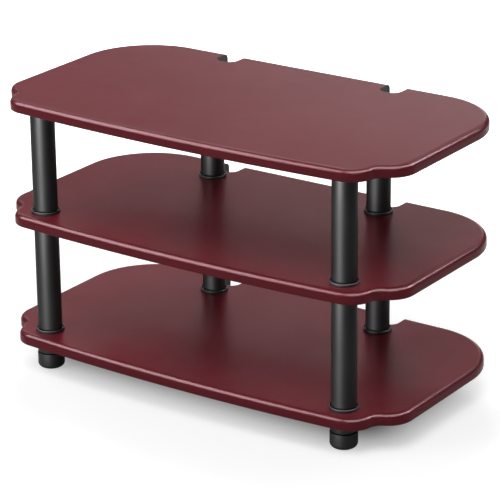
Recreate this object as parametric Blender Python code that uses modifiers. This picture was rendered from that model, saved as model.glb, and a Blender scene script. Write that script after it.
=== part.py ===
# Audio-video stand: three lacquered shelves carried on four round posts.
# Metres, +Z up, +X to the viewer's right, +Y to the rear.
# The origin is on the floor under the middle of the shelves.

import math

import bpy
import bmesh

# Shelf, seen from above
SHELF_WIDTH = 0.720
SHELF_DEPTH = 0.396
SHELF_THICKNESS = 0.018
FRONT_BOW = 0.011              # the front edge stands this much prouder in the middle
CORNER_OUTSET = 0.012          # round corner's centre, sideways from the front post
CORNER_RADIUS = 0.038          # round corner that the front post stands in
DIP_RADIUS = 0.022             # hollow behind the round corner
FLARE_RADIUS = 0.042           # swell from the hollow out to the straight side
FLARE_SETBACK = 0.048          # swell's centre, behind the front row of posts
REAR_CORNER_RADIUS = 0.120
RIM_RADIUS = 0.008             # round-over of the upper edge
RIM_BREAK = 0.0014             # small round on the lower edge

# Cable notches in the rear edge
NOTCH_INSET = 0.208            # from the shelf's side to the middle of the notch
NOTCH_WIDTH = 0.036
NOTCH_DEPTH = 0.040
NOTCH_CORNER_RADIUS = 0.015

# Post places, from the shelf's sides, front edge and rear edge to the posts' axes
FRONT_POST_INSET = 0.087
REAR_POST_INSET = 0.204
FRONT_ROW_SETBACK = 0.050
REAR_ROW_SETBACK = 0.066

# Heights
FOOT_HEIGHT = 0.0435
LOWER_BAY_HEIGHT = 0.178
UPPER_BAY_HEIGHT = 0.166

# Tubes
TUBE_DIAMETER = 0.038
TUBE_WALL = 0.0015

# Moulded end pieces of the tubes
COLLAR_DIAMETER = 0.0445
COLLAR_HEIGHT = 0.0042
COLLAR_EDGE_RADIUS = 0.0013
COLLAR_SEAT = 0.0016           # floor of the ring that the tube stands in
COLLAR_MOAT = 0.0009           # open ring between the tube and the lip
PLUG_LENGTH = 0.022
PLUG_LEAD = 0.0015             # taper that starts the plug into the tube

# Threaded hardware, modelled with plain shanks
STUD_DIAMETER = 0.010
STUD_GRIP = 0.018              # length screwed into each end piece
STUD_CHAMFER = 0.001
SHELF_HOLE_CLEARANCE = 0.0005
INSERT_DIAMETER = 0.0155
INSERT_LENGTH = 0.0125
INSERT_FLOOR = 0.0015
INSERT_FLANGE_DIAMETER = 0.021
INSERT_FLANGE = 0.0012

# Feet
FOOT_BAND_DIAMETER = 0.0405
FOOT_BAND_HEIGHT = 0.0165
FOOT_GROOVE = 0.0016
FOOT_NECK_DIAMETER = 0.033
FOOT_CAP_DIAMETER = 0.042
FOOT_CAP_FLOOR = 0.004
FOOT_CAP_TOP_BREAK = 0.0012
FOOT_CAP_BOTTOM_RADIUS = 0.0055
FOOT_BORE_FLOOR = 0.002

# Fits
SEAT_GAP = 0.0003              # between pieces that rest on, or fit in, each other
CUT_OVERRUN = 0.004

# Facets, in counts
ROUND_STEPS = 24
PLUG_STEPS = 16
STUD_STEPS = 10
INSERT_STEPS = 12
CORNER_STEPS = 5
FRONT_STEPS = 6
REAR_STEPS = 10
RIM_STEPS = 3
LIP_STEPS = 1
CAP_STEPS = 3

# Places worked out from the sizes above
HALF_WIDTH = SHELF_WIDTH / 2
FRONT_Y = -SHELF_DEPTH / 2
REAR_Y = SHELF_DEPTH / 2
FRONT_ROW_Y = FRONT_Y + FRONT_ROW_SETBACK
REAR_ROW_Y = REAR_Y - REAR_ROW_SETBACK
FRONT_POST_X = HALF_WIDTH - FRONT_POST_INSET
REAR_POST_X = HALF_WIDTH - REAR_POST_INSET
POSTS = {
    "front_left": (-FRONT_POST_X, FRONT_ROW_Y),
    "front_right": (FRONT_POST_X, FRONT_ROW_Y),
    "rear_left": (-REAR_POST_X, REAR_ROW_Y),
    "rear_right": (REAR_POST_X, REAR_ROW_Y),
}
BOTTOM_SHELF_Z = FOOT_HEIGHT
MIDDLE_SHELF_Z = BOTTOM_SHELF_Z + SHELF_THICKNESS + LOWER_BAY_HEIGHT
TOP_SHELF_Z = MIDDLE_SHELF_Z + SHELF_THICKNESS + UPPER_BAY_HEIGHT
TUBE_RADIUS = TUBE_DIAMETER / 2
TUBE_BORE_RADIUS = TUBE_RADIUS - TUBE_WALL
PLUG_RADIUS = TUBE_BORE_RADIUS - SEAT_GAP
STUD_RADIUS = STUD_DIAMETER / 2
STUD_BORE_RADIUS = STUD_RADIUS + SEAT_GAP


def clear_scene():
    for item in list(bpy.data.objects):
        bpy.data.objects.remove(item, do_unlink=True)


def new_collection(name):
    collection = bpy.data.collections.new(name)
    bpy.context.scene.collection.children.link(collection)
    return collection


def new_material(name, colour, roughness, metallic=0.0, coat=0.0):
    material = bpy.data.materials.new(name)
    material.use_nodes = True
    shader = material.node_tree.nodes["Principled BSDF"]
    shader.inputs["Base Color"].default_value = (*colour, 1.0)
    shader.inputs["Roughness"].default_value = roughness
    shader.inputs["Metallic"].default_value = metallic
    shader.inputs["Coat Weight"].default_value = coat
    material.diffuse_color = (*colour, 1.0)
    return material


def arc(centre, radius, start, end, steps):
    """Points along an arc, both ends included, angles in degrees."""
    points = []
    for step in range(steps + 1):
        angle = math.radians(start + (end - start) * step / steps)
        points.append((centre[0] + radius * math.cos(angle),
                       centre[1] + radius * math.sin(angle)))
    return points


def direction(start, end):
    """Angle in degrees of the line from one point to another."""
    return math.degrees(math.atan2(end[1] - start[1], end[0] - start[0]))


def hollow_centre(corner, flare):
    """Centre of the dip, which touches the round corner and the flare from outside."""
    reach_corner = CORNER_RADIUS + DIP_RADIUS
    reach_flare = FLARE_RADIUS + DIP_RADIUS
    across = (flare[0] - corner[0], flare[1] - corner[1])
    distance = math.hypot(*across)
    along = (reach_corner ** 2 - reach_flare ** 2 + distance ** 2) / (2 * distance)
    out = math.sqrt(reach_corner ** 2 - along ** 2)
    unit = (across[0] / distance, across[1] / distance)
    return (corner[0] + unit[0] * along + unit[1] * out,
            corner[1] + unit[1] * along - unit[0] * out)


def half_outline():
    """Right half of the shelf's outline, from the middle of the front to the middle of the rear."""
    corner = (FRONT_POST_X + CORNER_OUTSET, FRONT_Y + FRONT_BOW + CORNER_RADIUS)
    flare = (HALF_WIDTH - FLARE_RADIUS, FRONT_ROW_Y + FLARE_SETBACK)
    dip = hollow_centre(corner, flare)
    rear = (HALF_WIDTH - REAR_CORNER_RADIUS, REAR_Y - REAR_CORNER_RADIUS)

    # The bowed front is one long arc that runs into the round corner.
    rise = FRONT_BOW + CORNER_RADIUS
    front_radius = (corner[0] ** 2 + rise ** 2 - CORNER_RADIUS ** 2) / (2 * FRONT_BOW)
    front_centre = (0.0, FRONT_Y + front_radius)
    front_end = direction(front_centre, corner)
    corner_end = direction(corner, dip)
    flare_start = direction(flare, dip)

    points = arc(front_centre, front_radius, -90, front_end, FRONT_STEPS)
    points += arc(corner, CORNER_RADIUS, front_end, corner_end, CORNER_STEPS)[1:]
    points += arc(dip, DIP_RADIUS, corner_end + 180, flare_start + 180, CORNER_STEPS)[1:]
    points += arc(flare, FLARE_RADIUS, flare_start, 0, CORNER_STEPS)[1:]
    points += arc(rear, REAR_CORNER_RADIUS, 0, 90, REAR_STEPS)
    return points


def shelf_outline():
    right = half_outline()
    left = [(-x, y) for x, y in reversed(right)]
    return right + left[:-1]


def notch_outline():
    """Round-ended notch, drawn about the middle of its mouth and run out past the rear edge."""
    half = NOTCH_WIDTH / 2
    bend = (half - NOTCH_CORNER_RADIUS, NOTCH_CORNER_RADIUS - NOTCH_DEPTH)
    right = arc(bend, NOTCH_CORNER_RADIUS, -90, 0, CORNER_STEPS) + [(half, CUT_OVERRUN)]
    left = [(-x, y) for x, y in reversed(right)]
    return right + left


def slab(name, outline, thickness, collection):
    """Flat solid of the outline, from z = 0 up, made as a filled curve and turned into a mesh."""
    curve = bpy.data.curves.new(name + "_outline", "CURVE")
    curve.dimensions = "2D"
    curve.fill_mode = "BOTH"
    curve.extrude = thickness / 2
    spline = curve.splines.new("POLY")
    spline.points.add(len(outline) - 1)
    for point, (x, y) in zip(spline.points, outline):
        point.co = (x, y, 0.0, 1.0)
    spline.use_cyclic_u = True
    drawing = bpy.data.objects.new(name + "_outline", curve)
    collection.objects.link(drawing)
    bpy.context.view_layer.update()
    depsgraph = bpy.context.evaluated_depsgraph_get()
    mesh = bpy.data.meshes.new_from_object(drawing.evaluated_get(depsgraph))
    bpy.data.objects.remove(drawing, do_unlink=True)

    shape = bmesh.new()
    shape.from_mesh(mesh)
    bmesh.ops.remove_doubles(shape, verts=shape.verts, dist=SEAT_GAP / 10)
    bmesh.ops.translate(shape, verts=shape.verts, vec=(0.0, 0.0, thickness / 2))
    bmesh.ops.dissolve_limit(shape, angle_limit=math.radians(0.2),
                             verts=shape.verts, edges=shape.edges)
    bmesh.ops.recalc_face_normals(shape, faces=shape.faces)
    shape.to_mesh(mesh)
    shape.free()
    mesh.name = name
    item = bpy.data.objects.new(name, mesh)
    collection.objects.link(item)
    return item


def weight_rims(mesh, thickness):
    """Full bevel weight on the upper rim, and a small share of it on the lower rim."""
    shape = bmesh.new()
    shape.from_mesh(mesh)
    weights = shape.edges.layers.float.new("bevel_weight_edge")
    for edge in shape.edges:
        heights = [vert.co.z for vert in edge.verts]
        if min(heights) > thickness / 2:
            edge[weights] = 1.0
        elif max(heights) < thickness / 2:
            edge[weights] = RIM_BREAK / RIM_RADIUS
    shape.to_mesh(mesh)
    shape.free()


def turned(name, profile, steps, collection, closed=False):
    """Piece turned about Z. A closed profile is a ring, an open one starts and ends on the axis."""
    edges = [(i, i + 1) for i in range(len(profile) - 1)]
    if closed:
        edges.append((len(profile) - 1, 0))
    mesh = bpy.data.meshes.new(name)
    mesh.from_pydata([(radius, 0.0, height) for radius, height in profile], edges, [])
    item = bpy.data.objects.new(name, mesh)
    collection.objects.link(item)
    screw = item.modifiers.new("Turn", "SCREW")
    screw.axis = "Z"
    screw.angle = math.tau
    screw.steps = steps
    screw.render_steps = steps
    screw.use_merge_vertices = True
    screw.merge_threshold = SEAT_GAP / 10
    screw.use_smooth_shade = True
    return item


def at_posts(name, profile, steps, z, material, collection, closed=False):
    """One piece of a kind at every post, all from the same profile."""
    mesh = None
    for place, (x, y) in POSTS.items():
        item = turned(f"{name}_{place}", profile, steps, collection, closed)
        if mesh is None:
            mesh = item.data
            mesh.name = name
            mesh.materials.append(material)
        else:
            spare = item.data
            item.data = mesh
            bpy.data.meshes.remove(spare)
        item.location = (x, y, z)


def cylinder_cutter(name, radius, low, high, steps, collection):
    bpy.ops.mesh.primitive_cylinder_add(vertices=steps, radius=radius, depth=high - low,
                                        location=(0.0, 0.0, (low + high) / 2))
    item = bpy.context.object
    item.name = name
    for owner in list(item.users_collection):
        owner.objects.unlink(item)
    collection.objects.link(item)
    return item


def hide_cutter(item):
    item.hide_render = True
    item.display_type = "WIRE"


def cut(item, cutter):
    boolean = item.modifiers.new("Cut " + cutter.name, "BOOLEAN")
    boolean.operation = "DIFFERENCE"
    boolean.solver = "EXACT"
    boolean.object = cutter
    hide_cutter(cutter)


def shelf_cutters(shelf_name, z, through, cutters):
    """Notch and bolt-hole cutters of one shelf, placed where the shelf is."""
    found = []
    for side in (-1, 1):
        notch = slab(f"{shelf_name}_notch_{'right' if side > 0 else 'left'}", notch_outline(),
                     SHELF_THICKNESS + 2 * CUT_OVERRUN, cutters)
        notch.location = (side * (HALF_WIDTH - NOTCH_INSET), REAR_Y, z - CUT_OVERRUN)
        found.append(notch)
    for place, (x, y) in POSTS.items():
        if through:
            hole = cylinder_cutter(f"{shelf_name}_hole_{place}",
                                   STUD_RADIUS + SHELF_HOLE_CLEARANCE, -CUT_OVERRUN,
                                   SHELF_THICKNESS + CUT_OVERRUN, INSERT_STEPS, cutters)
        else:
            hole = cylinder_cutter(f"{shelf_name}_pocket_{place}",
                                   INSERT_DIAMETER / 2 + SEAT_GAP, -CUT_OVERRUN,
                                   INSERT_LENGTH + SEAT_GAP, INSERT_STEPS, cutters)
            flange = cylinder_cutter(f"{shelf_name}_flange_pocket_{place}",
                                     INSERT_FLANGE_DIAMETER / 2 + SEAT_GAP, -CUT_OVERRUN,
                                     INSERT_FLANGE + SEAT_GAP, INSERT_STEPS, cutters)
            flange.location = (x, y, z + flange.location.z)
            found.append(flange)
        hole.location = (x, y, z + hole.location.z)
        found.append(hole)
    return found


def make_shelf(name, z, through, material, parts, cutters):
    """Board with a rounded upper edge, two cable notches and a hole or pocket at each post."""
    shelf = slab(name, shelf_outline(), SHELF_THICKNESS, parts)
    shelf.location.z = z
    shelf.data.materials.append(material)
    weight_rims(shelf.data, SHELF_THICKNESS)
    rim = shelf.modifiers.new("Rim", "BEVEL")
    rim.width = RIM_RADIUS
    rim.segments = RIM_STEPS
    rim.limit_method = "WEIGHT"
    rim.use_clamp_overlap = False
    for cutter in shelf_cutters(name, z, through, cutters):
        cut(shelf, cutter)


def tube_profile(length):
    return [(TUBE_RADIUS, length), (TUBE_RADIUS, 0.0), (TUBE_BORE_RADIUS, 0.0),
            (TUBE_BORE_RADIUS, length)]


def collar_profile():
    """Collar that the tube stands in, with the plug that goes up inside the tube."""
    outer = COLLAR_DIAMETER / 2
    lip_inner = TUBE_RADIUS + COLLAR_MOAT
    lip = arc((outer - COLLAR_EDGE_RADIUS, COLLAR_HEIGHT - COLLAR_EDGE_RADIUS),
              COLLAR_EDGE_RADIUS, 90, 0, LIP_STEPS)
    plug_top = COLLAR_SEAT + PLUG_LENGTH
    return ([(lip_inner, COLLAR_HEIGHT)] + lip
            + [(outer, 0.0), (STUD_BORE_RADIUS, 0.0), (STUD_BORE_RADIUS, plug_top),
               (PLUG_RADIUS - PLUG_LEAD, plug_top), (PLUG_RADIUS, plug_top - PLUG_LEAD),
               (PLUG_RADIUS, COLLAR_SEAT), (lip_inner, COLLAR_SEAT)])


def socket_profile():
    """Plug in the top end of a tube, flush with it and bored for the stud."""
    return [(PLUG_RADIUS, PLUG_LENGTH), (PLUG_RADIUS, PLUG_LEAD),
            (PLUG_RADIUS - PLUG_LEAD, 0.0), (STUD_BORE_RADIUS, 0.0),
            (STUD_BORE_RADIUS, PLUG_LENGTH)]


def stud_profile(length):
    return [(0.0, length), (STUD_RADIUS - STUD_CHAMFER, length),
            (STUD_RADIUS, length - STUD_CHAMFER), (STUD_RADIUS, STUD_CHAMFER),
            (STUD_RADIUS - STUD_CHAMFER, 0.0), (0.0, 0.0)]


def insert_profile():
    """Threaded insert in the top shelf, flanged at its mouth and closed at its upper end."""
    body = INSERT_DIAMETER / 2
    return [(0.0, INSERT_LENGTH), (body, INSERT_LENGTH), (body, INSERT_FLANGE),
            (INSERT_FLANGE_DIAMETER / 2, INSERT_FLANGE), (INSERT_FLANGE_DIAMETER / 2, 0.0),
            (STUD_BORE_RADIUS, 0.0), (STUD_BORE_RADIUS, INSERT_LENGTH - INSERT_FLOOR),
            (0.0, INSERT_LENGTH - INSERT_FLOOR)]


def foot_body_profile():
    """Band against the shelf, and the neck below it that the cap closes over."""
    band = FOOT_BAND_DIAMETER / 2
    neck = FOOT_NECK_DIAMETER / 2
    top = FOOT_HEIGHT - SEAT_GAP
    band_low = FOOT_HEIGHT - FOOT_BAND_HEIGHT
    neck_low = FOOT_CAP_FLOOR + SEAT_GAP
    bore_low = neck_low + FOOT_BORE_FLOOR
    return [(0.0, bore_low), (STUD_BORE_RADIUS, bore_low), (STUD_BORE_RADIUS, top),
            (band, top), (band, band_low), (neck, band_low), (neck, neck_low), (0.0, neck_low)]


def foot_cap_profile():
    outer = FOOT_CAP_DIAMETER / 2
    inner = FOOT_NECK_DIAMETER / 2 + SEAT_GAP
    top = FOOT_HEIGHT - FOOT_BAND_HEIGHT - FOOT_GROOVE
    upper = arc((outer - FOOT_CAP_TOP_BREAK, top - FOOT_CAP_TOP_BREAK),
                FOOT_CAP_TOP_BREAK, 90, 0, LIP_STEPS)
    lower = arc((outer - FOOT_CAP_BOTTOM_RADIUS, FOOT_CAP_BOTTOM_RADIUS),
                FOOT_CAP_BOTTOM_RADIUS, 0, -90, CAP_STEPS)
    return ([(0.0, FOOT_CAP_FLOOR), (inner, FOOT_CAP_FLOOR), (inner, top)] + upper + lower
            + [(0.0, 0.0)])


def make_feet(material, parts):
    at_posts("foot_body", foot_body_profile(), ROUND_STEPS, 0.0, material, parts)
    at_posts("foot_cap", foot_cap_profile(), ROUND_STEPS, 0.0, material, parts)


def make_posts(level, shelf_top, bay_height, tube_material, plastic, parts):
    """Collars, tubes and top sockets between two shelves."""
    collar_z = shelf_top + SEAT_GAP
    tube_z = collar_z + COLLAR_SEAT + SEAT_GAP
    tube_top = shelf_top + bay_height - SEAT_GAP
    at_posts(f"{level}_collar", collar_profile(), ROUND_STEPS, collar_z, plastic, parts, True)
    at_posts(f"{level}_tube", tube_profile(tube_top - tube_z), ROUND_STEPS, tube_z,
             tube_material, parts, True)
    at_posts(f"{level}_socket", socket_profile(), PLUG_STEPS, tube_top - PLUG_LENGTH,
             plastic, parts, True)


def make_studs(steel, parts):
    """Studs that pull the posts and feet together through the shelves."""
    for name, z in (("middle_stud", MIDDLE_SHELF_Z), ("bottom_stud", BOTTOM_SHELF_Z)):
        length = SHELF_THICKNESS + 2 * STUD_GRIP
        at_posts(name, stud_profile(length), STUD_STEPS, z - STUD_GRIP, steel, parts)
    reach = INSERT_LENGTH - INSERT_FLOOR - SEAT_GAP
    at_posts("top_stud", stud_profile(STUD_GRIP + reach), STUD_STEPS,
             TOP_SHELF_Z - STUD_GRIP, steel, parts)


def main():
    clear_scene()
    parts = new_collection("audio_video_stand")
    cutters = new_collection("cutters")
    lacquer = new_material("burgundy_lacquer", (0.105, 0.012, 0.018), 0.28, coat=0.5)
    tube_black = new_material("satin_black_tube", (0.022, 0.023, 0.023), 0.38)
    plastic = new_material("black_moulding", (0.014, 0.014, 0.015), 0.42)
    steel = new_material("zinc_plated_steel", (0.62, 0.62, 0.60), 0.32, metallic=1.0)
    brass = new_material("brass", (0.72, 0.53, 0.25), 0.30, metallic=1.0)

    for name, z, through in (("bottom_shelf", BOTTOM_SHELF_Z, True),
                             ("middle_shelf", MIDDLE_SHELF_Z, True),
                             ("top_shelf", TOP_SHELF_Z, False)):
        make_shelf(name, z, through, lacquer, parts, cutters)

    make_posts("lower", BOTTOM_SHELF_Z + SHELF_THICKNESS, LOWER_BAY_HEIGHT, tube_black,
               plastic, parts)
    make_posts("upper", MIDDLE_SHELF_Z + SHELF_THICKNESS, UPPER_BAY_HEIGHT, tube_black,
               plastic, parts)
    make_studs(steel, parts)
    at_posts("top_insert", insert_profile(), INSERT_STEPS, TOP_SHELF_Z, brass, parts)
    make_feet(plastic, parts)


main()
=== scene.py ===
from math import atan2, degrees, hypot, radians, sqrt, tau

import bmesh
import bpy
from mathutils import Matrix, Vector


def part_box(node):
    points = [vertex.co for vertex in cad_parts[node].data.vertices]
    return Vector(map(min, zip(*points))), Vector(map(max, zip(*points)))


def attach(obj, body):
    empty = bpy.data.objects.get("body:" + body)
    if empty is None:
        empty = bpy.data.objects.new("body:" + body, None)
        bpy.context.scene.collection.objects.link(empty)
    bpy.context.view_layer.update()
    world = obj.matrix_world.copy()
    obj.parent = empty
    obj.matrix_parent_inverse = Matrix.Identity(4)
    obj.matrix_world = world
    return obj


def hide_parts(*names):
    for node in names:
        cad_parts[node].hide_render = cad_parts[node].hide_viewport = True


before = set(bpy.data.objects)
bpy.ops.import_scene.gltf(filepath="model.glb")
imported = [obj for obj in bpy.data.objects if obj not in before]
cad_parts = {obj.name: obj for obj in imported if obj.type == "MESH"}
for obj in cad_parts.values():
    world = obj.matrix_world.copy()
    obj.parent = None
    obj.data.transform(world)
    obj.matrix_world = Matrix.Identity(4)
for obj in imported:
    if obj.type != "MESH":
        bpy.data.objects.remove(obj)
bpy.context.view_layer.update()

# Audio-video stand: three burgundy lacquered shelves on black tube posts.
# Metres, floor at z = 0, open front towards -Y. Places come from the frame's own nodes.

places = ("front_left", "front_right", "rear_left", "rear_right")
shelfNames = ("top_shelf", "middle_shelf", "bottom_shelf")
upAxis = (0, 0, 1)
acrossAxis = (0, 1, 0)
weldGap = 0.00002       # points closer than this become one
levelGap = 0.00001      # points closer to a level than this lie on it
dressed = {"boards": [], "tubes": [], "mouldings": []}      # the lamps ask for these by name
print("Frame loaded with", len(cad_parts), "nodes")


# Drawing and shaping tools

def camelName(node):
    words = node.split("_")
    return words[0] + "".join(word.capitalize() for word in words[1:])


def middleOf(node):
    low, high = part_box(node)
    return (low + high) / 2


def putToolsDown():
    if bpy.context.object and bpy.context.object.mode == "EDIT":
        bpy.ops.object.mode_set(mode="OBJECT")
    bpy.ops.object.select_all(action="DESELECT")


def pickUp(piece):
    putToolsDown()
    piece.select_set(True)
    bpy.context.view_layer.objects.active = piece


def selectAll():
    bpy.ops.mesh.select_all(action="SELECT")


def penDown(name, point):
    putToolsDown()
    bpy.ops.mesh.primitive_plane_add(location=(0, 0, 0))
    drawing = bpy.context.object
    drawing.name = drawing.data.name = name
    bpy.ops.object.mode_set(mode="EDIT")
    bpy.ops.mesh.select_mode(type="VERT")
    selectAll()
    bpy.ops.mesh.merge(type="CENTER")          # one point is left to draw from
    selectAll()
    bpy.ops.transform.translate(value=point)
    return drawing


def penPlace():
    shape = bmesh.from_edit_mesh(bpy.context.object.data)
    return next(vert.co.copy() for vert in shape.verts if vert.select)


def lineTo(target):
    step = Vector(target) - penPlace()
    bpy.ops.mesh.extrude_region_move(TRANSFORM_OT_translate={"value": step})


def arcRound(centre, angle, facets, axis=upAxis):
    # A positive angle turns anticlockwise as seen against the axis.
    bpy.ops.mesh.spin(steps=facets, angle=radians(-angle), center=centre, axis=axis)


def pickParts(piece, kind, test):
    # Selects the edges or faces whose points pass the test, and goes on in edit mode.
    bpy.ops.mesh.select_mode(type=kind)
    bpy.ops.object.mode_set(mode="OBJECT")
    mesh = piece.data
    for group in (mesh.vertices, mesh.edges, mesh.polygons):
        group.foreach_set("select", [False] * len(group))
    for part in (mesh.edges if kind == "EDGE" else mesh.polygons):
        part.select = test([mesh.vertices[index].co for index in part.vertices])
    bpy.ops.object.mode_set(mode="EDIT")


def closeSeams():
    selectAll()
    bpy.ops.mesh.remove_doubles(threshold=weldGap)
    selectAll()
    bpy.ops.mesh.normals_make_consistent(inside=False)


def smoothOff(piece, angle=32):
    pickUp(piece)
    bpy.ops.object.shade_smooth_by_angle(angle=radians(angle))


def applyModifier(piece, kind, **values):
    modifier = piece.modifiers.new(kind.title(), kind)
    for key, value in values.items():
        setattr(modifier, key, value)
    pickUp(piece)
    bpy.ops.object.modifier_apply(modifier=modifier.name)


def copyOf(piece, name, step=(0, 0, 0)):
    pickUp(piece)
    bpy.ops.object.duplicate()
    twin = bpy.context.object
    twin.name = twin.data.name = name
    twin.location = step
    bpy.ops.object.transform_apply(location=True, rotation=True, scale=True)
    return twin


def discard(*pieces):
    for piece in pieces:
        bpy.data.objects.remove(piece, do_unlink=True)


def standFor(piece, node):
    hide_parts(node)
    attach(piece, "root")


# Shader groups that several finishes share

def addNode(tree, kind, **values):
    node = tree.nodes.new(kind)
    for key, value in values.items():
        setattr(node, key, value)
    return node


def feed(tree, source, target):
    tree.links.new(source, target)


def newGroup(name, inputs, outputs):
    tree = bpy.data.node_groups.new(name, "ShaderNodeTree")
    for label, value in inputs.items():
        socket = tree.interface.new_socket(name=label, in_out="INPUT", socket_type="NodeSocketFloat")
        socket.default_value = value
    for label in outputs:
        tree.interface.new_socket(name=label, in_out="OUTPUT", socket_type="NodeSocketFloat")
    return tree, tree.nodes.new("NodeGroupInput"), tree.nodes.new("NodeGroupOutput")


def noiseOn(tree, coordinates, scale, detail, roughness=0.5, stretch=(1, 1, 1)):
    mapping = addNode(tree, "ShaderNodeMapping")
    mapping.inputs["Scale"].default_value = stretch
    feed(tree, coordinates, mapping.inputs["Vector"])
    noise = addNode(tree, "ShaderNodeTexNoise")
    noise.inputs["Detail"].default_value = detail
    noise.inputs["Roughness"].default_value = roughness
    feed(tree, mapping.outputs["Vector"], noise.inputs["Vector"])
    if isinstance(scale, (int, float)):
        noise.inputs["Scale"].default_value = scale
    else:
        feed(tree, scale, noise.inputs["Scale"])
    return noise.outputs["Fac"]


def ramp(tree, value, low, high, toLow=0.0, toHigh=1.0):
    change = addNode(tree, "ShaderNodeMapRange", interpolation_type="SMOOTHSTEP")
    for label, number in (("From Min", low), ("From Max", high), ("To Min", toLow), ("To Max", toHigh)):
        change.inputs[label].default_value = number
    feed(tree, value, change.inputs["Value"])
    return change.outputs["Result"]


def sums(tree, operation, first, second):
    node = addNode(tree, "ShaderNodeMath", operation=operation)
    for socket, value in zip(node.inputs, (first, second)):
        if isinstance(value, (int, float)):
            socket.default_value = value
        else:
            feed(tree, value, socket)
    return node.outputs["Value"]


def vectorStep(tree, operation, first, second=None):
    node = addNode(tree, "ShaderNodeVectorMath", operation=operation)
    feed(tree, first, node.inputs[0])
    if isinstance(second, tuple):
        node.inputs[1].default_value = second
    return node.outputs["Value" if operation == "LENGTH" else "Vector"]


def raysSeen(tree):
    # The rays, and 1 for those that look straight or through glass at the backdrop.
    rays = addNode(tree, "ShaderNodeLightPath").outputs
    return rays, sums(tree, "MAXIMUM", rays["Is Camera Ray"], rays["Is Transmission Ray"])


skinLook = {
    "peelDetail": 2.0, "peelShare": 0.75,
    "speckDetail": 3.0, "speckRoughness": 0.6, "speckShare": 0.25,
    "patchDetail": 3.0, "patchRange": (0.3, 0.7),
}
scuffLook = {
    "detail": 2.0, "roughness": 0.5, "along": (0.12, 3.4, 1.0), "across": (2.9, 0.16, 1.0),
    "alongRange": (0.66, 0.72), "acrossRange": (0.67, 0.73),
    "placeScale": 9.0, "placeDetail": 2.0, "placeRange": (0.45, 0.7),
}
dustLook = {
    "facingRange": (0.6, 1.0), "scale": 26.0, "detail": 5.0, "roughness": 0.62, "filmRange": (0.3, 0.8),
}


def makeSprayedSkin():
    # Fine orange peel of a sprayed coat, and slow patches where it lies thicker.
    tree, inputs, outputs = newGroup(
        "sprayedSkin", {"Peel Scale": 420.0, "Speck Scale": 1900.0, "Patch Scale": 7.0},
        ("Height", "Patch"))
    place = addNode(tree, "ShaderNodeTexCoord").outputs["Object"]
    peel = noiseOn(tree, place, inputs.outputs["Peel Scale"], skinLook["peelDetail"])
    speck = noiseOn(tree, place, inputs.outputs["Speck Scale"], skinLook["speckDetail"],
                    skinLook["speckRoughness"])
    patch = noiseOn(tree, place, inputs.outputs["Patch Scale"], skinLook["patchDetail"])
    height = sums(tree, "ADD", sums(tree, "MULTIPLY", peel, skinLook["peelShare"]),
                  sums(tree, "MULTIPLY", speck, skinLook["speckShare"]))
    feed(tree, height, outputs.inputs["Height"])
    feed(tree, ramp(tree, patch, *skinLook["patchRange"]), outputs.inputs["Patch"])
    return tree


def makeFineScuffs():
    # Hair-fine rub marks that cross each other, gathered in a few places.
    tree, inputs, outputs = newGroup("fineScuffs", {"Scale": 60.0, "Amount": 0.5}, ("Mask",))
    place = addNode(tree, "ShaderNodeTexCoord").outputs["Object"]
    along, across = (noiseOn(tree, place, inputs.outputs["Scale"], scuffLook["detail"],
                             scuffLook["roughness"], scuffLook[way]) for way in ("along", "across"))
    where = ramp(tree, noiseOn(tree, place, scuffLook["placeScale"], scuffLook["placeDetail"]),
                 *scuffLook["placeRange"])
    lines = sums(tree, "MAXIMUM", ramp(tree, along, *scuffLook["alongRange"]),
                 ramp(tree, across, *scuffLook["acrossRange"]))
    gathered = sums(tree, "MULTIPLY", lines, where)
    feed(tree, sums(tree, "MULTIPLY", gathered, inputs.outputs["Amount"]), outputs.inputs["Mask"])
    return tree


def makeSettledDust():
    # A thin film on what faces up, thicker in some places than others.
    tree, inputs, outputs = newGroup("settledDust", {"Amount": 0.1}, ("Mask",))
    place = addNode(tree, "ShaderNodeTexCoord").outputs["Object"]
    facing = addNode(tree, "ShaderNodeSeparateXYZ")
    feed(tree, addNode(tree, "ShaderNodeNewGeometry").outputs["Normal"], facing.inputs["Vector"])
    level = ramp(tree, facing.outputs["Z"], *dustLook["facingRange"])
    cover = noiseOn(tree, place, dustLook["scale"], dustLook["detail"], dustLook["roughness"])
    film = ramp(tree, cover, *dustLook["filmRange"])
    feed(tree, sums(tree, "MULTIPLY", sums(tree, "MULTIPLY", level, film), inputs.outputs["Amount"]),
         outputs.inputs["Mask"])
    return tree


sprayedSkin = makeSprayedSkin()
fineScuffs = makeFineScuffs()
settledDust = makeSettledDust()


# Finishes

def useGroup(tree, group, **values):
    node = addNode(tree, "ShaderNodeGroup", node_tree=group)
    for label, value in values.items():
        node.inputs[label.replace("_", " ")].default_value = value
    return node


def newFinish(name):
    finish = bpy.data.materials.new(name)
    finish.use_nodes = True
    return finish, finish.node_tree, finish.node_tree.nodes["Principled BSDF"]


colourMix = {"factor": 0, "first": 6, "second": 7, "result": 2}      # sockets of the mix node's colour side
wear = {"scuffRoughness": 0.18, "dustRoughness": 0.5}                # what rub marks and dust add


def mixColours(tree, factor, first, second):
    mix = addNode(tree, "ShaderNodeMix", data_type="RGBA")
    feed(tree, factor, mix.inputs[colourMix["factor"]])
    for side, colour in (("first", first), ("second", second)):
        socket = mix.inputs[colourMix[side]]
        if isinstance(colour, tuple):
            socket.default_value = (*colour, 1.0)
        else:
            feed(tree, colour, socket)
    return mix.outputs[colourMix["result"]]


def bumpFrom(tree, shader, height, strength, distance):
    bump = addNode(tree, "ShaderNodeBump")
    bump.inputs["Strength"].default_value = strength
    bump.inputs["Distance"].default_value = distance
    feed(tree, height, bump.inputs["Height"])
    feed(tree, bump.outputs["Normal"], shader.inputs["Normal"])


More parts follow.
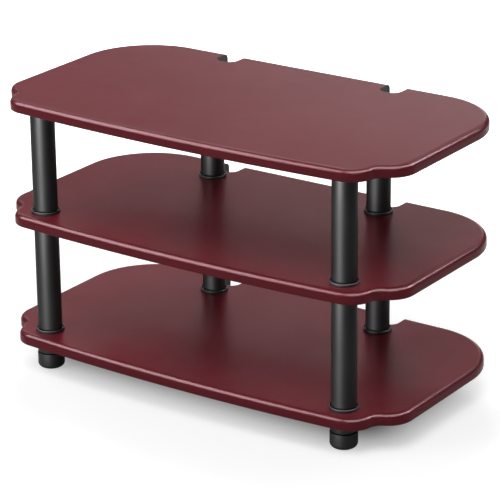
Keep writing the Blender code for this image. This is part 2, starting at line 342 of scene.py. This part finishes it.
def sprayedFinish(name, look):
    # Lacquer, paint and moulded plastic: two close tones, a skin, rub marks and a little dust.
    finish, tree, shader = newFinish(name)
    skin = useGroup(tree, sprayedSkin, Peel_Scale=look["peelScale"], Speck_Scale=look["speckScale"],
                    Patch_Scale=look["patchScale"])
    rubs = useGroup(tree, fineScuffs, Scale=look["scuffScale"], Amount=look["scuffs"])
    dust = useGroup(tree, settledDust, Amount=look["dust"])
    colour = mixColours(tree, skin.outputs["Patch"], look["colour"], look["otherTone"])
    colour = mixColours(tree, rubs.outputs["Mask"], colour, look["scuffColour"])
    colour = mixColours(tree, dust.outputs["Mask"], colour, look["dustColour"])
    feed(tree, colour, shader.inputs["Base Color"])
    gloss = ramp(tree, skin.outputs["Patch"], 0.0, 1.0, look["roughness"], look["roughnessPatch"])
    for layer, dulling in ((rubs, wear["scuffRoughness"]), (dust, wear["dustRoughness"])):
        gloss = sums(tree, "ADD", gloss, sums(tree, "MULTIPLY", layer.outputs["Mask"], dulling))
    feed(tree, gloss, shader.inputs["Roughness"])
    shader.inputs["IOR"].default_value = look["ior"]
    shader.inputs["Specular IOR Level"].default_value = look["specular"]
    bumpFrom(tree, shader, skin.outputs["Height"], look["bump"], look["bumpDepth"])
    return finish


burgundyLook = {
    "colour": (0.180, 0.0182, 0.0275), "otherTone": (0.192, 0.0205, 0.0305),
    "scuffColour": (0.20, 0.060, 0.066), "dustColour": (0.32, 0.27, 0.26),
    "roughness": 0.235, "roughnessPatch": 0.245, "ior": 1.21, "specular": 0.50,
    "peelScale": 330.0, "speckScale": 1700.0, "patchScale": 6.0,
    "scuffScale": 210.0, "scuffs": 0.03, "dust": 0.02, "bump": 0.06, "bumpDepth": 0.0003,
}
# Black edge paint on the cut walls. In the notches it also paints the shade inside them.
edgeAndNotchShadeLook = {
    "colour": (0.012, 0.014, 0.013), "otherTone": (0.018, 0.020, 0.019),
    "scuffColour": (0.05, 0.05, 0.048), "dustColour": (0.20, 0.19, 0.18),
    "roughness": 0.52, "roughnessPatch": 0.62, "ior": 1.45, "specular": 0.35,
    "peelScale": 900.0, "speckScale": 3200.0, "patchScale": 40.0,
    "scuffScale": 120.0, "scuffs": 0.3, "dust": 0.05, "bump": 0.35, "bumpDepth": 0.0005,
}
# Black backing sheet on the shelves' undersides. It is also kept dark as painted shade, so that the
# undersides show dark in the reflections on the shelves below.
backingAndShadeLook = {
    "colour": (0.014, 0.014, 0.014), "otherTone": (0.018, 0.018, 0.018),
    "scuffColour": (0.06, 0.06, 0.058), "dustColour": (0.20, 0.19, 0.18),
    "roughness": 0.62, "roughnessPatch": 0.70, "ior": 1.40, "specular": 0.35,
    "peelScale": 700.0, "speckScale": 2400.0, "patchScale": 14.0,
    "scuffScale": 120.0, "scuffs": 0.3, "dust": 0.0, "bump": 0.30, "bumpDepth": 0.0004,
}
tubePaintLook = {
    "colour": (0.0085, 0.0090, 0.0088), "otherTone": (0.0110, 0.0115, 0.0113),
    "scuffColour": (0.05, 0.05, 0.05), "dustColour": (0.20, 0.20, 0.19),
    "roughness": 0.48, "roughnessPatch": 0.52, "ior": 1.33, "specular": 0.50,
    "peelScale": 620.0, "speckScale": 2600.0, "patchScale": 18.0,
    "scuffScale": 90.0, "scuffs": 0.25, "dust": 0.02, "bump": 0.14, "bumpDepth": 0.0003,
}
mouldingLook = {
    "colour": (0.0070, 0.0072, 0.0073), "otherTone": (0.0095, 0.0097, 0.0098),
    "scuffColour": (0.05, 0.05, 0.05), "dustColour": (0.20, 0.19, 0.18),
    "roughness": 0.44, "roughnessPatch": 0.50, "ior": 1.40, "specular": 0.50,
    "peelScale": 1500.0, "speckScale": 5200.0, "patchScale": 30.0,
    "scuffScale": 140.0, "scuffs": 0.35, "dust": 0.06, "bump": 0.12, "bumpDepth": 0.0002,
}


plating = {"speckRatio": 4, "ringDetail": 2.0, "ringRoughness": 0.5, "ringStretch": (0.05, 0.05, 1.0),
           "grainShare": 0.4}


def metalFinish(name, look):
    # Turned and plated metal: fine rings round the piece, and duller patches.
    finish, tree, shader = newFinish(name)
    skin = useGroup(tree, sprayedSkin, Peel_Scale=look["grain"], Patch_Scale=look["patchScale"],
                    Speck_Scale=look["grain"] * plating["speckRatio"])
    rubs = useGroup(tree, fineScuffs, Scale=look["scuffScale"], Amount=look["scuffs"])
    colour = mixColours(tree, skin.outputs["Patch"], look["colour"], look["otherTone"])
    feed(tree, mixColours(tree, rubs.outputs["Mask"], colour, look["scuffColour"]),
         shader.inputs["Base Color"])
    shader.inputs["Metallic"].default_value = 1.0
    gloss = ramp(tree, skin.outputs["Patch"], 0.0, 1.0, look["roughness"], look["roughnessPatch"])
    feed(tree, gloss, shader.inputs["Roughness"])
    place = addNode(tree, "ShaderNodeTexCoord").outputs["Object"]
    rings = noiseOn(tree, place, look["rings"], plating["ringDetail"], plating["ringRoughness"],
                    plating["ringStretch"])
    grain = sums(tree, "MULTIPLY", skin.outputs["Height"], plating["grainShare"])
    height = sums(tree, "ADD", rings, grain)
    bumpFrom(tree, shader, height, look["bump"], look["bumpDepth"])
    return finish


zincLook = {
    "colour": (0.60, 0.60, 0.57), "otherTone": (0.50, 0.50, 0.46), "scuffColour": (0.30, 0.29, 0.27),
    "roughness": 0.26, "roughnessPatch": 0.40, "grain": 900.0, "patchScale": 90.0,
    "scuffScale": 160.0, "scuffs": 0.5, "rings": 2200.0, "bump": 0.15, "bumpDepth": 0.0002,
}
brassLook = {
    "colour": (0.72, 0.50, 0.20), "otherTone": (0.58, 0.38, 0.15), "scuffColour": (0.30, 0.19, 0.08),
    "roughness": 0.24, "roughnessPatch": 0.38, "grain": 800.0, "patchScale": 110.0,
    "scuffScale": 160.0, "scuffs": 0.4, "rings": 2600.0, "bump": 0.18, "bumpDepth": 0.0002,
}

burgundyLacquer = sprayedFinish("burgundyLacquer", burgundyLook)
blackEdgeAndNotchShade = sprayedFinish("blackEdgeAndNotchShade", edgeAndNotchShadeLook)
blackBackingAndShade = sprayedFinish("blackBackingAndShade", backingAndShadeLook)
blackTubePaint = sprayedFinish("blackTubePaint", tubePaintLook)
blackMoulding = sprayedFinish("blackMoulding", mouldingLook)
zincPlate = metalFinish("zincPlate", zincLook)
turnedBrass = metalFinish("turnedBrass", brassLook)
print("Finishes mixed")


# Shelves

board = {
    "frontBow": 0.011, "frontFacets": 40,
    "cornerOutset": 0.012, "cornerRadius": 0.038,     # round corner that the front post stands in
    "dipRadius": 0.022,                               # hollow behind it
    "flareRadius": 0.042, "flareSetback": 0.048,      # swell out to the straight side
    "cornerFacets": 18, "rearRadius": 0.120, "rearFacets": 36,
    "rimRadius": 0.008, "rimFacets": 8, "lowerRim": 0.0014, "lowerFacets": 3, "roundProfile": 0.5,
    "seamWidth": 0.0012,                              # flat strip inside the rim, for even shading
}
notch = {"inset": 0.208, "width": 0.036, "depth": 0.040, "cornerRadius": 0.015, "facets": 12,
         "overrun": 0.004}
drilling = {"boltHole": 0.0055, "pocket": 0.00805, "pocketDepth": 0.0128, "overrun": 0.004,
            "flange": 0.0108, "flangeDepth": 0.0015, "flangeOverrun": 0.005, "sides": 40}

shelfLow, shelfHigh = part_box("middle_shelf")
halfWidth, frontY, rearY = shelfHigh.x, shelfLow.y, shelfHigh.y
boardThickness = shelfHigh.z - shelfLow.z
frontPost = middleOf("upper_tube_front_right")


def bearing(start, end):
    return degrees(atan2(end[1] - start[1], end[0] - start[0]))


def hollowCentre(corner, flare):
    reachCorner = board["cornerRadius"] + board["dipRadius"]
    reachFlare = board["flareRadius"] + board["dipRadius"]
    across = (flare[0] - corner[0], flare[1] - corner[1])
    distance = hypot(*across)
    along = (reachCorner ** 2 - reachFlare ** 2 + distance ** 2) / (2 * distance)
    out = sqrt(reachCorner ** 2 - along ** 2)
    return (corner[0] + (across[0] * along + across[1] * out) / distance,
            corner[1] + (across[1] * along - across[0] * out) / distance)


def drawBoard():
    corner = (frontPost.x + board["cornerOutset"], frontY + board["frontBow"] + board["cornerRadius"])
    flare = (halfWidth - board["flareRadius"], frontPost.y + board["flareSetback"])
    hollow = hollowCentre(corner, flare)
    rise = board["frontBow"] + board["cornerRadius"]
    bowRadius = (corner[0] ** 2 + rise ** 2 - board["cornerRadius"] ** 2) / (2 * board["frontBow"])
    bowCentre = (0.0, frontY + bowRadius)
    bowEnd = bearing(bowCentre, corner)
    cornerEnd = bearing(corner, hollow)
    flareStart = bearing(flare, hollow)
    rearRadius = board["rearRadius"]

    drawing = penDown("shelfBoard", (0.0, frontY, 0.0))
    arcRound((*bowCentre, 0), bowEnd + 90, board["frontFacets"] // 2)
    arcRound((*corner, 0), cornerEnd - bowEnd, board["cornerFacets"])
    arcRound((*hollow, 0), flareStart - cornerEnd, board["cornerFacets"])
    arcRound((*flare, 0), -flareStart, board["cornerFacets"])
    lineTo((halfWidth, rearY - rearRadius, 0))
    arcRound((halfWidth - rearRadius, rearY - rearRadius, 0), 90, board["rearFacets"])
    lineTo((0, rearY, 0))
    selectAll()
    bpy.ops.mesh.duplicate()
    bpy.ops.transform.resize(value=(-1, 1, 1), center_override=(0, 0, 0))
    selectAll()
    bpy.ops.mesh.remove_doubles(threshold=weldGap)
    selectAll()
    bpy.ops.mesh.edge_face_add()
    return drawing


def raiseBoard(drawing):
    # The drawn outline becomes a board with a rounded upper rim and an eased lower one.
    bpy.ops.mesh.extrude_region_move(TRANSFORM_OT_translate={"value": (0, 0, boardThickness)})
    closeSeams()
    half = boardThickness / 2
    pickParts(drawing, "EDGE", lambda points: min(point.z for point in points) > half)
    bpy.ops.mesh.bevel(offset=board["rimRadius"], segments=board["rimFacets"],
                       profile=board["roundProfile"], affect="EDGES", clamp_overlap=False)
    pickParts(drawing, "EDGE", lambda points: max(point.z for point in points) < levelGap)
    bpy.ops.mesh.bevel(offset=board["lowerRim"], segments=board["lowerFacets"],
                       profile=board["roundProfile"], affect="EDGES", clamp_overlap=False)
    for level in (boardThickness, 0.0):
        pickParts(drawing, "FACE",
                  lambda points: all(abs(point.z - level) < levelGap for point in points))
        bpy.ops.mesh.inset(thickness=board["seamWidth"], use_boundary=True)
    closeSeams()
    for finish in (burgundyLacquer, blackBackingAndShade):
        drawing.data.materials.append(finish)
    pickParts(drawing, "FACE", lambda points: max(point.z for point in points) < levelGap)
    drawing.active_material_index = 1          # the underside has a black backing, which also paints the undersides' shade
    bpy.ops.object.material_slot_assign()


def drawNotchCutter(side):
    half, depth, radius = notch["width"] / 2, notch["depth"], notch["cornerRadius"]
    middle = side * (halfWidth - notch["inset"])
    mouth, floorLine = rearY + notch["overrun"], rearY - depth
    cutter = penDown("notchCutter", (middle + half, mouth, -notch["overrun"]))
    lineTo((middle + half, floorLine + radius, -notch["overrun"]))
    arcRound((middle + half - radius, floorLine + radius, 0), -90, notch["facets"])
    lineTo((middle - half + radius, floorLine, -notch["overrun"]))
    arcRound((middle - half + radius, floorLine + radius, 0), -90, notch["facets"])
    lineTo((middle - half, mouth, -notch["overrun"]))
    selectAll()
    bpy.ops.mesh.edge_face_add()
    bpy.ops.mesh.extrude_region_move(
        TRANSFORM_OT_translate={"value": (0, 0, boardThickness + 2 * notch["overrun"])})
    closeSeams()
    # The notch walls take the black edge colour, which also paints their shade.
    cutter.data.materials.append(blackEdgeAndNotchShade)
    return cutter


def boltCutter(radius, low, high, spot):
    putToolsDown()
    bpy.ops.mesh.primitive_cylinder_add(vertices=drilling["sides"], radius=radius, depth=high - low,
                                        location=(spot.x, spot.y, (low + high) / 2))
    cutter = bpy.context.object
    bpy.ops.object.transform_apply(location=True, rotation=True, scale=True)
    cutter.data.materials.append(blackEdgeAndNotchShade)
    return cutter


def cutWith(piece, cutter):
    applyModifier(piece, "BOOLEAN", operation="DIFFERENCE", solver="EXACT", object=cutter,
                  material_mode="TRANSFER")


plainBoard = drawBoard()
raiseBoard(plainBoard)
notchCutters = [drawNotchCutter(side) for side in (-1, 1)]
for cutter in notchCutters:
    cutWith(plainBoard, cutter)
discard(*notchCutters)

overrun = drilling["overrun"]
for node in shelfNames:
    shelf = copyOf(plainBoard, camelName(node))
    holes = []
    for place in places:
        spot = middleOf(f"upper_tube_{place}")
        if node == "top_shelf":
            holes.append(boltCutter(drilling["pocket"], -overrun, drilling["pocketDepth"], spot))
            holes.append(boltCutter(drilling["flange"], -drilling["flangeOverrun"],
                                    drilling["flangeDepth"], spot))
        else:
            holes.append(boltCutter(drilling["boltHole"], -overrun, boardThickness + overrun, spot))
    for hole in holes:
        cutWith(shelf, hole)
    discard(*holes)
    pickUp(shelf)
    shelf.location = (0, 0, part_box(node)[0].z)
    bpy.ops.object.transform_apply(location=True, rotation=True, scale=True)
    smoothOff(shelf)
    dressed["boards"].append(shelf)
    standFor(shelf, node)
discard(plainBoard)
print("Shelves cut, rimmed and drilled")


# Turned pieces: a profile is drawn in the XZ plane and spun round Z

turning = {"facets": 96, "edgeFacets": 6, "smallFacets": 3, "roundFacets": 10}


def spinProfile(piece):
    selectAll()
    bpy.ops.mesh.spin(steps=turning["facets"], angle=tau, center=(0, 0, 0), axis=upAxis)
    closeSeams()


def easeCorner(centreX, centreZ, angle, facets=None):
    arcRound((centreX, 0, centreZ), -angle, facets or turning["edgeFacets"], acrossAxis)


def standAtPosts(pattern, nodeStem, slotName):
    # One copy of the turned pattern at each post, set on the frame's own place and height.
    for place in places:
        node = f"{nodeStem}_{place}"
        low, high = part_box(node)
        piece = copyOf(pattern, camelName(node), ((low.x + high.x) / 2, (low.y + high.y) / 2, low.z))
        smoothOff(piece)
        dressed["tubes" if slotName == "post_tube" else "mouldings"].append(piece)
        standFor(piece, node)


tube = {"radius": 0.019, "wall": 0.0015, "edge": 0.0003,
        "neck": 0.0006, "neckHeight": 0.0024, "neckRise": 0.0013, "seamWidth": 0.0008}


def drawTube(length):
    outer, inner, edge = tube["radius"], tube["radius"] - tube["wall"], tube["edge"]
    piece = penDown("tubePattern", (outer, 0, length / 2))
    lineTo((outer, 0, length - edge))
    easeCorner(outer - edge, length - edge, 90)
    lineTo((inner + edge, 0, length))
    easeCorner(inner + edge, length - edge, 90)
    lineTo((inner, 0, edge))
    easeCorner(inner + edge, edge, 90)
    neck, neckTop = outer - tube["neck"], tube["neckHeight"] + tube["neckRise"]
    lineTo((neck - edge, 0, 0))
    easeCorner(neck - edge, edge, 90)
    lineTo((neck, 0, tube["neckHeight"]))
    lineTo((outer, 0, neckTop))
    lineTo((outer, 0, neckTop + tube["seamWidth"]))
    lineTo((outer, 0, length / 2))
    spinProfile(piece)
    piece.data.materials.append(blackTubePaint)
    return piece


for level in ("upper", "lower"):
    low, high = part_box(f"{level}_tube_front_left")
    pattern = drawTube(high.z - low.z)
    standAtPosts(pattern, f"{level}_tube", "post_tube")
    discard(pattern)
print("Tubes standing")


collar = {
    "radius": 0.02225, "height": 0.0042, "lipEase": 0.0007, "footEase": 0.0004,
    "moat": 0.0017, "seat": 0.0016, "plugRadius": 0.0172, "plugLength": 0.022, "plugLead": 0.0015,
    "bore": 0.0053, "plugEase": 0.0003,
}


def drawCollar():
    outer, top, ease = collar["radius"], collar["height"], collar["lipEase"]
    lipInner, seat = tube["radius"] + collar["moat"], collar["seat"]
    plug, plugTop, bore = collar["plugRadius"], seat + collar["plugLength"], collar["bore"]
    under, lead, inner = collar["footEase"], collar["plugLead"], collar["plugEase"]
    piece = penDown("collarPattern", (outer, 0, under))
    lineTo((outer, 0, top - ease))
    easeCorner(outer - ease, top - ease, 90)
    lineTo((lipInner + inner, 0, top))
    easeCorner(lipInner + inner, top - inner, 90, turning["smallFacets"])
    lineTo((lipInner, 0, seat))
    lineTo((plug, 0, seat))
    lineTo((plug, 0, plugTop - lead))
    lineTo((plug - lead, 0, plugTop))
    lineTo((bore + inner, 0, plugTop))
    lineTo((bore, 0, plugTop - inner))
    lineTo((bore, 0, 0))
    lineTo((outer - under, 0, 0))
    easeCorner(outer - under, under, 90, turning["smallFacets"])
    spinProfile(piece)
    piece.data.materials.append(blackMoulding)
    return piece


pattern = drawCollar()
for level in ("upper", "lower"):
    standAtPosts(pattern, f"{level}_collar", "black_moulding")
discard(pattern)
print("Collars seated")


foot = {
    "bandRadius": 0.02025, "bandHeight": 0.0165, "bandEase": 0.0006,
    "neckRadius": 0.0165, "capRadius": 0.021, "capFloor": 0.004, "capTopEase": 0.0008,
    "capBottomRound": 0.0075, "capLip": 0.0004, "boreFloor": 0.002, "gap": 0.0003,
}
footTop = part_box("foot_body_front_left")[1].z
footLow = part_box("foot_body_front_left")[0].z
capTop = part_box("foot_cap_front_left")[1].z


def drawFootBody():
    # Drawn from its own lowest point, as the copies are set by their lowest points.
    band, neck, ease = foot["bandRadius"], foot["neckRadius"], foot["bandEase"]
    top = footTop - footLow
    bandLow = footTop + foot["gap"] - foot["bandHeight"] - footLow
    boreLow, bore = foot["boreFloor"], collar["bore"]
    piece = penDown("footBodyPattern", (0, 0, boreLow))
    lineTo((bore, 0, boreLow))
    lineTo((bore, 0, top))
    lineTo((band - ease, 0, top))
    easeCorner(band - ease, top - ease, -90)
    lineTo((band, 0, bandLow + ease))
    easeCorner(band - ease, bandLow + ease, -90)
    lineTo((neck, 0, bandLow))
    lineTo((neck, 0, 0))
    lineTo((0, 0, 0))
    spinProfile(piece)
    piece.data.materials.append(blackMoulding)
    return piece


def drawFootCap():
    outer, inner = foot["capRadius"], foot["neckRadius"] + foot["gap"]
    topEase, lowRound, lip = foot["capTopEase"], foot["capBottomRound"], foot["capLip"]
    piece = penDown("footCapPattern", (0, 0, foot["capFloor"]))
    lineTo((inner, 0, foot["capFloor"]))
    lineTo((inner, 0, capTop - lip))
    lineTo((inner + lip, 0, capTop))
    lineTo((outer - topEase, 0, capTop))
    easeCorner(outer - topEase, capTop - topEase, -90)
    lineTo((outer, 0, lowRound))
    easeCorner(outer - lowRound, lowRound, -90, turning["roundFacets"])
    lineTo((0, 0, 0))
    spinProfile(piece)
    piece.data.materials.append(blackMoulding)
    return piece


for stem, draw in (("foot_body", drawFootBody), ("foot_cap", drawFootCap)):
    pattern = draw()
    standAtPosts(pattern, stem, "black_moulding")
    discard(pattern)
print("Feet turned")


# Joinery inside the posts keeps its CAD shape and takes the real finishes

hiddenFinishes = {"upper_socket": blackMoulding, "lower_socket": blackMoulding, "top_stud": zincPlate,
                  "middle_stud": zincPlate, "bottom_stud": zincPlate, "top_insert": turnedBrass}
for stem, finish in hiddenFinishes.items():
    for place in places:
        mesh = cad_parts[f"{stem}_{place}"].data
        mesh.materials.clear()
        mesh.materials.append(finish)
print("Joinery finished")


# Floor, lamps, world and camera

# The floor is pale all round, with a painted shadow below the stand where its lift is cut back.
# "underneath" is half the painted shadow's size.
floorLook = {
    "size": 24.0, "cells": 8, "drop": 0.0002, "colour": (0.62, 0.62, 0.62), "mirrored": 0.2,
    "centre": (0.0015, 0.015, 0.0), "underneath": (0.242, 0.072, 0.0), "edge": 0.135, "lift": 0.645,
    "farRange": (0.20, 1.4), "farLift": 0.35,
}
white, coolWhite, pinkWhite = (1, 1, 1), (0.95, 0.94, 1.0), (1.0, 0.88, 0.92)
standMiddle, lowerMiddle, rightSide, frontPosts = (0, 0, 0.3), (0, 0, 0.25), (0.3, 0, 0.3), (0, 0, 0.26)
allButTubes = ("boards", "mouldings")
# The matt lamps give the plain level. Each glossy one makes highlights on the pieces that it lights.
lampLook = {
    "key": {"place": (-1.07, -0.70, 1.75), "aim": standMiddle, "size": (1.0, 1.0), "watts": 2.5,
            "seenBy": "both"},
    "over": {"place": (0.7, -0.8, 2.1), "aim": standMiddle, "size": (1.2, 1.2), "watts": 17,
             "seenBy": "matt"},
    "front": {"place": (-1.3, -1.7, 1.3), "aim": standMiddle, "size": (1.2, 1.2), "watts": 11.5,
              "seenBy": "matt"},
    "left": {"place": (-2.3, 0.5, 0.9), "aim": standMiddle, "size": (1.6, 1.0), "watts": 9.5,
             "seenBy": "matt"},
    "back": {"place": (-1.4, 2.05, 0.95), "aim": lowerMiddle, "size": (0.9, 0.6), "watts": 54,
             "seenBy": "matt"},
    "rear": {"place": (1.1, 2.5, 0.9), "aim": lowerMiddle, "size": (2.0, 1.2), "watts": 20,
             "seenBy": "matt"},
    "rim": {"place": (-1.24, -1.29, 1.75), "aim": standMiddle, "size": (2.1, 1.7), "watts": 275,
            "colour": coolWhite, "seenBy": "gloss", "lights": allButTubes},
    "corner": {"place": (1.02, -0.91, 2.15), "aim": standMiddle, "size": (2.1, 1.7), "watts": 250,
               "colour": coolWhite, "seenBy": "gloss", "lights": allButTubes},
    "flank": {"place": (1.42, 1.31, 1.55), "aim": rightSide, "size": (0.9, 0.7), "watts": 80,
              "colour": pinkWhite, "seenBy": "gloss", "lights": allButTubes},
    "crest": {"place": (1.53, 0.38, 1.95), "aim": rightSide, "size": (0.9, 0.8), "watts": 80,
              "colour": pinkWhite, "seenBy": "gloss", "lights": allButTubes},
    "strip": {"place": (-0.12, -2.20, 0.36), "aim": frontPosts, "size": (1.05, 0.68), "watts": 175,
              "seenBy": "gloss", "lights": ("tubes",)},
    "low": {"place": (-0.12, -2.20, 0.36), "aim": frontPosts, "size": (1.05, 0.68), "watts": 70,
            "seenBy": "gloss", "lights": ("mouldings",)},
}
# Glossy rays meet a white backdrop low down, a dark gap, and a bright ceiling over the back of the room.
# Both edges climb from left to right, and both are brighter on the right. To the right of the stand
# they give way to a glow, so that the right rims have no dark band.
worldLook = {
    "seen": 1.0, "fill": 0.03, "tilt": 0.6, "leftToRight": (-0.63, -0.52),
    "backdropTop": (0.53, 0.61), "backdrop": (1.05, 1.8),
    "ceilingFoot": (0.77, 0.83), "ceiling": (2.3, 5.2),
    "rightEdge": (-0.37, -0.25), "farRight": 0.05, "glowFoot": (0.35, 0.48), "glow": 1.5,
    "frontToBack": (0.1, 0.7), "frontGloss": 0.04,
}
cameraLook = {"place": (2.1346, -3.07, 1.6147), "turn": (69.32, 0.516, 34.533), "lens": 187.2,
              "sensor": 36.0, "clipEnd": 40}


def makeFloor():
    putToolsDown()
    bpy.ops.mesh.primitive_grid_add(x_subdivisions=floorLook["cells"], y_subdivisions=floorLook["cells"],
                                    size=floorLook["size"], location=(0, 0, -floorLook["drop"]))
    floor = bpy.context.object
    floor.name = "paleFloor"
    finish = bpy.data.materials.new("paleFloor")
    finish.use_nodes = True
    tree = finish.node_tree
    tree.nodes.clear()
    sheet = addNode(tree, "ShaderNodeBsdfDiffuse")
    sheet.inputs["Color"].default_value = (*floorLook["colour"], 1)
    lift = addNode(tree, "ShaderNodeEmission")
    rays, seen = raysSeen(tree)
    seen = sums(tree, "MAXIMUM", seen, sums(tree, "MULTIPLY", rays["Is Glossy Ray"], floorLook["mirrored"]))
    place = addNode(tree, "ShaderNodeTexCoord").outputs["Object"]
    spot = vectorStep(tree, "SUBTRACT", place, floorLook["centre"])
    far = vectorStep(tree, "LENGTH", spot)
    # The lift falls to nothing in a soft-edged box under the stand: a painted shadow.
    beyond = vectorStep(tree, "SUBTRACT", vectorStep(tree, "ABSOLUTE", spot), floorLook["underneath"])
    pastPaintedShadow = vectorStep(tree, "LENGTH", vectorStep(tree, "MAXIMUM", beyond, (0, 0, 0)))
    level = sums(tree, "ADD", ramp(tree, pastPaintedShadow, 0.0, floorLook["edge"], 0.0, floorLook["lift"]),
                 ramp(tree, far, *floorLook["farRange"], 0.0, floorLook["farLift"]))
    feed(tree, sums(tree, "MULTIPLY", seen, level), lift.inputs["Strength"])
    both = addNode(tree, "ShaderNodeAddShader")
    feed(tree, sheet.outputs["BSDF"], both.inputs[0])
    feed(tree, lift.outputs["Emission"], both.inputs[1])
    feed(tree, both.outputs["Shader"], addNode(tree, "ShaderNodeOutputMaterial").inputs["Surface"])
    floor.data.materials.append(finish)


def makeLamps():
    for name, look in lampLook.items():
        lamp = bpy.data.lights.new(name + "Lamp", "AREA")
        lamp.shape = "RECTANGLE"
        lamp.size, lamp.size_y = look["size"]
        lamp.energy = look["watts"]
        lamp.color = look.get("colour", white)
        holder = bpy.data.objects.new(name + "Lamp", lamp)
        bpy.context.scene.collection.objects.link(holder)
        holder.location = look["place"]
        aim = Vector(look["aim"]) - Vector(look["place"])
        holder.rotation_euler = aim.to_track_quat("-Z", "Y").to_euler()
        holder.visible_camera = False
        holder.visible_diffuse = look["seenBy"] != "gloss"
        holder.visible_glossy = look["seenBy"] != "matt"
        if "lights" in look:
            lit = bpy.data.collections.new(name + "Lit")
            for kind in look["lights"]:
                for piece in dressed[kind]:
                    lit.objects.link(piece)
            holder.light_linking.receiver_collection = lit


def makeWorld():
    world = bpy.data.worlds.new("studio")
    bpy.context.scene.world = world
    world.use_nodes = True
    tree = world.node_tree
    sky = tree.nodes["Background"]
    rays, seen = raysSeen(tree)
    split = addNode(tree, "ShaderNodeSeparateXYZ")
    feed(tree, addNode(tree, "ShaderNodeTexCoord").outputs["Generated"], split.inputs["Vector"])
    right, back, up = (split.outputs[axis] for axis in "XYZ")
    tilted = sums(tree, "SUBTRACT", up, sums(tree, "MULTIPLY", right, worldLook["tilt"]))
    backdrop = sums(tree, "MULTIPLY", ramp(tree, tilted, *worldLook["backdropTop"], 1.0, 0.0),
                    ramp(tree, right, *worldLook["leftToRight"], *worldLook["backdrop"]))
    ceiling = sums(tree, "MULTIPLY", ramp(tree, tilted, *worldLook["ceilingFoot"]),
                   ramp(tree, right, *worldLook["leftToRight"], *worldLook["ceiling"]))
    mirrored = sums(tree, "MULTIPLY", sums(tree, "ADD", backdrop, ceiling),
                    ramp(tree, right, *worldLook["rightEdge"], 1.0, worldLook["farRight"]))
    glow = sums(tree, "MULTIPLY", ramp(tree, right, *worldLook["rightEdge"]),
                ramp(tree, up, *worldLook["glowFoot"], 0.0, worldLook["glow"]))
    mirrored = sums(tree, "MULTIPLY", sums(tree, "ADD", mirrored, glow),
                    ramp(tree, back, *worldLook["frontToBack"], worldLook["frontGloss"], 1.0))
    mirrored = sums(tree, "MULTIPLY", rays["Is Glossy Ray"], mirrored)
    notGlossy = sums(tree, "SUBTRACT", 1.0, rays["Is Glossy Ray"])
    unseen = sums(tree, "ADD", mirrored, sums(tree, "MULTIPLY", notGlossy, worldLook["fill"]))
    strength = sums(tree, "ADD", sums(tree, "MULTIPLY", seen, worldLook["seen"]),
                    sums(tree, "MULTIPLY", sums(tree, "SUBTRACT", 1.0, seen), unseen))
    sky.inputs["Color"].default_value = (1, 1, 1, 1)
    feed(tree, strength, sky.inputs["Strength"])


def makeCamera():
    camera = bpy.data.objects.new("photoCamera", bpy.data.cameras.new("photoCamera"))
    bpy.context.scene.collection.objects.link(camera)
    camera.location = cameraLook["place"]
    camera.rotation_euler = [radians(angle) for angle in cameraLook["turn"]]
    camera.data.sensor_width = cameraLook["sensor"]
    camera.data.lens = cameraLook["lens"]
    camera.data.clip_end = cameraLook["clipEnd"]
    bpy.context.scene.camera = camera


makeFloor()
makeLamps()
makeWorld()
makeCamera()
bpy.context.scene.view_settings.view_transform = "Standard"
print("Studio set")
